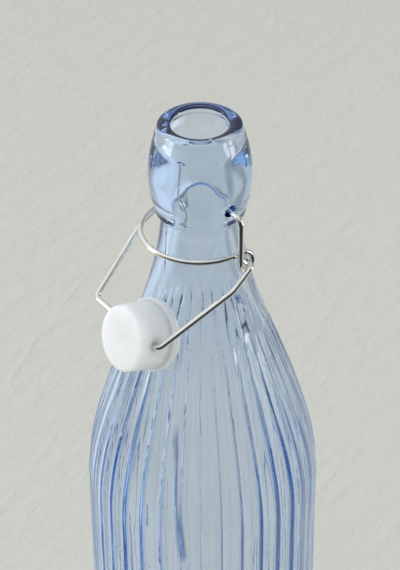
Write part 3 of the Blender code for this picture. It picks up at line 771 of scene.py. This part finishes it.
# Lever wire
# One length of drawn steel wire, bright plated. Its sprung ends sit in the two pivot holes, each leg
# is bent three quarters round into an eye, and a loop in front of the neck joins them as the handle.
PIVOT_HEIGHT = BOTTLE_HEIGHT - PIVOT_DROP
SEAT_GAP = 0.0003
WIRE_RADIUS = 0.0010
WIRE_BEND_RADIUS = 0.0030
WIRE_PASS = 2 * WIRE_RADIUS + SEAT_GAP
WIRE_TIP_REACH = BARREL_RADIUS - PIVOT_HOLE_DEPTH + SEAT_GAP
WIRE_ROUNDNESS = 6
WELD_DISTANCE = 0.000001
LEG_REACH = 0.0221
EYE_RADIUS = 0.0029
EYE_HEIGHT = PIVOT_HEIGHT - 0.0182
EYE_TURN = math.radians(270.0)
LOOP_RADIUS = 0.0193
LOOP_FORWARD = 0.0008
LOOP_START_REACH = LEG_REACH - WIRE_PASS
ARC_STEP = math.radians(9.0)
LOOP_STEP = ARC_STEP / 2
PLATING = (0.82, 0.81, 0.75)
PLATING_DULL = (0.60, 0.60, 0.56)
PLATING_ROUGHNESS = 0.10
DULL_SCALE = 160.0
DULL_PLACES = (0.52, 0.75)
DULL_STRENGTH = 0.6
DULL_ROUGHNESS = 0.12
SPECK_SCALE = 1400.0
SPECK_ROUGHNESS = 0.04


def bent_path(corners, radii):
    """Points along straight runs through the corners, with an arc of the given radius at each."""
    points = [corners[0]]
    for index in range(1, len(corners) - 1):
        corner = corners[index]
        back = (corners[index - 1] - corner).normalized()
        ahead = (corners[index + 1] - corner).normalized()
        turn = math.pi - back.angle(ahead)
        setback = radii[index - 1] * math.tan(turn / 2)
        middle = corner + (back + ahead).normalized() * radii[index - 1] / math.cos(turn / 2)
        first = corner + back * setback - middle
        axis = ahead.cross(back)
        steps = max(2, math.ceil(turn / ARC_STEP))
        for step in range(steps + 1):
            points.append(middle + Matrix.Rotation(turn * step / steps, 3, axis) @ first)
    points.append(corners[-1])
    return points


def mirrored(half):
    """A whole path from the half at +X, whose last point lies on X = 0."""
    return half + [Vector((-point.x, point.y, point.z)) for point in reversed(half[:-1])]


def plating_material():
    """Bright plating on drawn wire, with faint dull patches and fine specks."""
    material, tree = new_material("bright_plating")
    patches = noise(tree, here(tree), DULL_SCALE, detail=4.0, roughness=0.6)
    specks = noise(tree, here(tree), SPECK_SCALE, detail=2.0)
    dull = patches.between(*DULL_PLACES)
    roughness = PLATING_ROUGHNESS + DULL_ROUGHNESS * dull + SPECK_ROUGHNESS * specks
    colour = mixed(tree, DULL_STRENGTH * dull, (*PLATING, 1.0), (*PLATING_DULL, 1.0))
    surface = Socket.add(tree, "ShaderNodeBsdfPrincipled", {},
                         {"Base Color": colour, "Metallic": 1.0, "Roughness": roughness,
                          "Normal": bumped(tree, specks, distance=0.00002, strength=0.3)})
    Socket.add(tree, "ShaderNodeOutputMaterial", {}, {"Surface": surface})
    return material


def wire(name, points, material):
    """A round wire along the points, as a mesh with its caps closed."""
    curve = bpy.data.curves.new(name, "CURVE")
    curve.dimensions = "3D"
    curve.bevel_depth = WIRE_RADIUS
    curve.bevel_resolution = WIRE_ROUNDNESS
    curve.use_fill_caps = True
    spline = curve.splines.new("POLY")
    spline.points.add(len(points) - 1)
    for target, point in zip(spline.points, points):
        target.co = (*point, 1.0)
    guide = placed(name + "_guide", curve)
    bpy.context.view_layer.update()
    mesh = bpy.data.meshes.new_from_object(guide.evaluated_get(bpy.context.evaluated_depsgraph_get()))
    bpy.data.objects.remove(guide, do_unlink=True)
    work = bmesh.new()
    work.from_mesh(mesh)
    bmesh.ops.remove_doubles(work, verts=work.verts, dist=WELD_DISTANCE)
    work.to_mesh(mesh)
    work.free()
    mesh.name = name
    mesh.materials.clear()
    mesh.materials.append(material)
    item = placed(name, mesh)
    round_shaded(item, EDGE_ANGLE)
    return item


def build_lever(plating):
    half = bent_path([Vector((WIRE_TIP_REACH, 0.0, PIVOT_HEIGHT)),
                      Vector((LEG_REACH, 0.0, PIVOT_HEIGHT)),
                      Vector((LEG_REACH, 0.0, EYE_HEIGHT))], [WIRE_BEND_RADIUS])
    for share in shares(math.ceil(EYE_TURN / ARC_STEP)):
        angle = math.pi + EYE_TURN * share
        half.append(Vector((LEG_REACH - WIRE_PASS * share, EYE_RADIUS + EYE_RADIUS * math.cos(angle),
                            EYE_HEIGHT + EYE_RADIUS * math.sin(angle))))
    quarter = math.radians(90.0)
    for share in [0.0] + shares(math.ceil(quarter / LOOP_STEP)):
        angle = quarter * share
        reach = LOOP_START_REACH + (LOOP_RADIUS - LOOP_START_REACH) * math.sin(angle)
        half.append(Vector((reach * math.cos(angle), -LOOP_FORWARD - reach * math.sin(angle),
                            EYE_HEIGHT + EYE_RADIUS)))
    lever = wire("lever_wire_plated", mirrored(half), plating)
    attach(lever, "lever_body")
    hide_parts("lever_wire")


plating = plating_material()
build_lever(plating)

# Bail wire
# A second length of the same wire. A hook at each end hangs in the lever's eyes, the arms spread
# round the neck, and the straight crossbar at the far end carries the stopper.
BAIL_SLOPE = math.radians(33.8)
BAIL_BEND_REACH = 0.0106
BAIL_BEND_HALF_WIDTH = 0.0256
BAIL_REACH = 0.0406
CROSSBAR_HALF_LENGTH = 0.0181
BAIL_CORNER_RADIUS = 0.0025
HOOK_OUTER_REACH = LEG_REACH + WIRE_PASS
HOOK_INNER_REACH = LOOP_START_REACH - WIRE_PASS
HOOK_TAIL_LENGTH = 0.0036
HOOK_BEND_RADIUS = 0.0016
EYE = Vector((0.0, EYE_RADIUS, EYE_HEIGHT))
BAIL_ALONG = Vector((0.0, -math.cos(BAIL_SLOPE), -math.sin(BAIL_SLOPE)))


def build_bail(plating):
    side = Vector((1.0, 0.0, 0.0))
    corners = [EYE + side * HOOK_INNER_REACH - Vector((0.0, 0.0, HOOK_TAIL_LENGTH)),
               EYE + side * HOOK_INNER_REACH,
               EYE + side * HOOK_OUTER_REACH,
               EYE + side * BAIL_BEND_HALF_WIDTH + BAIL_ALONG * BAIL_BEND_REACH,
               EYE + side * CROSSBAR_HALF_LENGTH + BAIL_ALONG * BAIL_REACH,
               EYE + BAIL_ALONG * BAIL_REACH]
    radii = [HOOK_BEND_RADIUS, HOOK_BEND_RADIUS, 2 * WIRE_BEND_RADIUS, BAIL_CORNER_RADIUS]
    bail = wire("bail_wire_plated", mirrored(bent_path(corners, radii)), plating)
    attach(bail, "bail_body")
    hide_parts("bail_wire")


build_bail(plating)

# Stopper
# A moulded cap of white, slightly translucent plastic with a wide flange, turned here from its
# profile and bored across for the crossbar, on which it hangs and turns.
STOPPER_TILT = math.radians(16.6)
STOPPER_SLIDE = 0.0058
STOPPER_SINK = 0.0021
HEAD_RADIUS = 0.0112
HEAD_ROOT_RADIUS = 0.0114
HEAD_FRONT = 0.0059
HEAD_EDGE_RADIUS = 0.0012
FLANGE_SETBACK = 0.0064
FLANGE_RADIUS = 0.0127
FLANGE_THICKNESS = 0.0015
FLANGE_RIM_RADIUS = FLANGE_THICKNESS / 2.2
FLANGE_FILLET = 0.0004
STEM_RADIUS = 0.0045
BORE_MOUTH_WIDENING = 0.0001
BORE_MOUTH_DEPTH = 0.0025
GASKET_THICKNESS = 0.0015
STOPPER_COLUMNS = 128
HEAD_STEPS = 4
HEAD_EDGE_STEPS = 10
FILLET_STEPS = 4
FLANGE_RIM_STEPS = 6
MOULDED_EDGE_ANGLE = math.radians(40.0)
WHITE_PLASTIC = (0.83, 0.85, 0.84)
WHITE_PLASTIC_DEEP = (0.78, 0.82, 0.82)
PLASTIC_ROUGHNESS = 0.42
CLOUD_SCALE = 220.0
CLOUD_PLACES = (0.35, 0.7)
CLOUD_ROUGHNESS = 0.1
PLASTIC_GRAIN_SCALE = 2600.0
PIN = Vector((STOPPER_SLIDE, EYE_RADIUS, EYE_HEIGHT)) + BAIL_ALONG * BAIL_REACH
STOPPER_DOWN = Vector((0.0, -math.sin(STOPPER_TILT), -math.cos(STOPPER_TILT)))
STOPPER_PLACE = (Matrix.Translation(PIN + STOPPER_DOWN * STOPPER_SINK)
                 @ Matrix.Rotation(math.radians(90.0) - STOPPER_TILT, 4, "X"))


def plastic_material():
    """White moulded plastic that lets light deep in, with a soft satin surface."""
    material, tree = new_material("white_plastic_moulded")
    cloud = noise(tree, here(tree), CLOUD_SCALE)
    grain = noise(tree, here(tree), PLASTIC_GRAIN_SCALE, detail=2.0)
    colour = mixed(tree, cloud.between(*CLOUD_PLACES), (*WHITE_PLASTIC, 1.0), (*WHITE_PLASTIC_DEEP, 1.0))
    surface = Socket.add(tree, "ShaderNodeBsdfPrincipled", {},
                         {"Base Color": colour, "Roughness": PLASTIC_ROUGHNESS + CLOUD_ROUGHNESS * cloud,
                          "Subsurface Weight": 1.0, "Subsurface Radius": (1.0, 0.9, 0.85),
                          "Subsurface Scale": 0.012, "Specular IOR Level": 0.4,
                          "Normal": bumped(tree, grain, distance=0.00002, strength=0.4)})
    Socket.add(tree, "ShaderNodeOutputMaterial", {}, {"Surface": surface})
    return material


def stopper_points():
    """The head, the flange and the short stem, from the middle of the front to the stem's end."""
    flange_back = FLANGE_SETBACK + FLANGE_THICKNESS
    stem_end = flange_back + SEAT_GAP + GASKET_THICKNESS
    edge_middle = HEAD_RADIUS - HEAD_EDGE_RADIUS
    rim_middle = FLANGE_RADIUS - FLANGE_RIM_RADIUS
    head_edge = (HEAD_EDGE_RADIUS, HEAD_EDGE_RADIUS)
    fillet = (FLANGE_FILLET, FLANGE_FILLET)
    rim = (FLANGE_RIM_RADIUS, FLANGE_RIM_RADIUS)
    points = [(0.0, HEAD_FRONT)]
    points += [(edge_middle * share, HEAD_FRONT) for share in shares(HEAD_STEPS)]
    points += ellipse_arc((edge_middle, HEAD_FRONT - HEAD_EDGE_RADIUS), head_edge, 90, 0, HEAD_EDGE_STEPS)
    points += [(HEAD_ROOT_RADIUS, -FLANGE_SETBACK + FLANGE_FILLET)]
    points += ellipse_arc((HEAD_ROOT_RADIUS + FLANGE_FILLET, -FLANGE_SETBACK + FLANGE_FILLET),
                          fillet, 180, 270, FILLET_STEPS)
    points += [(rim_middle, -FLANGE_SETBACK)]
    points += ellipse_arc((rim_middle, -FLANGE_SETBACK - FLANGE_RIM_RADIUS), rim, 90, 0, FLANGE_RIM_STEPS)
    points += [(FLANGE_RADIUS, -flange_back + FLANGE_RIM_RADIUS)]
    points += ellipse_arc((rim_middle, -flange_back + FLANGE_RIM_RADIUS), rim, 0, -90, FLANGE_RIM_STEPS)
    points += [(STEM_RADIUS, -flange_back), (STEM_RADIUS, -stem_end), (0.0, -stem_end)]
    return points


def cross_bore(name):
    """A cutter for the crossbar's bore, widened towards both mouths, along X."""
    bore = WIRE_RADIUS + SEAT_GAP
    half = HEAD_ROOT_RADIUS + CUT_OVERRUN
    mouth = bore + BORE_MOUTH_WIDENING * (BORE_MOUTH_DEPTH + CUT_OVERRUN) / BORE_MOUTH_DEPTH
    narrow = half - BORE_MOUTH_DEPTH - CUT_OVERRUN
    profile = [(0.0, half), (mouth, half), (bore, narrow), (bore, -narrow), (mouth, -half), (0.0, -half)]
    mesh = turned(name, profile, HOLE_STEPS)
    mesh.transform(Matrix.Translation(PIN) @ Matrix.Rotation(math.radians(90.0), 4, "Y"))
    return placed(name, mesh)


def build_stopper():
    mesh = turned("stopper_moulded", stopper_points(), STOPPER_COLUMNS)
    mesh.transform(STOPPER_PLACE)
    mesh.materials.append(plastic_material())
    stopper = placed("stopper_moulded", mesh)
    cut_away(stopper, [cross_bore("crossbar_bore")])
    round_shaded(stopper, MOULDED_EDGE_ANGLE)
    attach(stopper, "stopper_body")
    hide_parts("stopper")


build_stopper()

# Gasket
# A flat ring of milky translucent rubber on the stem behind the flange, which seals on the lip.
# Its rim is rounded by the mould.
GASKET_RADIUS = 0.0121
GASKET_EDGE_STEPS = 12
RUBBER = (0.80, 0.83, 0.83)
RUBBER_CLOUD_SCALE = 300.0
RUBBER_ROUGHNESS = 0.5
RUBBER_CLOUD_ROUGHNESS = 0.15


def rubber_material():
    """Milky translucent rubber with a matt surface."""
    material, tree = new_material("milky_rubber")
    cloud = noise(tree, here(tree), RUBBER_CLOUD_SCALE)
    surface = Socket.add(tree, "ShaderNodeBsdfPrincipled", {},
                         {"Base Color": (*RUBBER, 1.0),
                          "Roughness": RUBBER_ROUGHNESS + RUBBER_CLOUD_ROUGHNESS * cloud,
                          "Subsurface Weight": 0.7, "Subsurface Radius": (1.0, 1.0, 1.0),
                          "Subsurface Scale": 0.004, "Specular IOR Level": 0.35,
                          "Normal": bumped(tree, cloud, distance=0.00005, strength=0.3)})
    Socket.add(tree, "ShaderNodeOutputMaterial", {}, {"Surface": surface})
    return material


def build_gasket():
    """A ring turned from a closed profile round the stem."""
    top = -FLANGE_SETBACK - FLANGE_THICKNESS - SEAT_GAP
    edge = GASKET_THICKNESS / 2
    inside = STEM_RADIUS + SEAT_GAP
    outline = [(inside, top), (GASKET_RADIUS - edge, top)]
    outline += ellipse_arc((GASKET_RADIUS - edge, top - edge), (edge, edge), 90, -90, GASKET_EDGE_STEPS)
    outline += [(inside, top - GASKET_THICKNESS)]
    count = len(outline)
    vertices = []
    faces = []
    for column in range(STOPPER_COLUMNS):
        angle = 2 * math.pi * column / STOPPER_COLUMNS
        after = (column + 1) % STOPPER_COLUMNS
        for index, (radius, height) in enumerate(outline):
            vertices.append((radius * math.cos(angle), radius * math.sin(angle), height))
            faces.append((column * count + index, column * count + (index + 1) % count,
                          after * count + (index + 1) % count, after * count + index))
    mesh = bpy.data.meshes.new("gasket_moulded")
    mesh.from_pydata(vertices, [], faces)
    mesh.transform(STOPPER_PLACE)
    mesh.materials.append(rubber_material())
    gasket = placed("gasket_moulded", mesh)
    round_shaded(gasket, MOULDED_EDGE_ANGLE)
    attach(gasket, "stopper_body")
    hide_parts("gasket")


build_gasket()
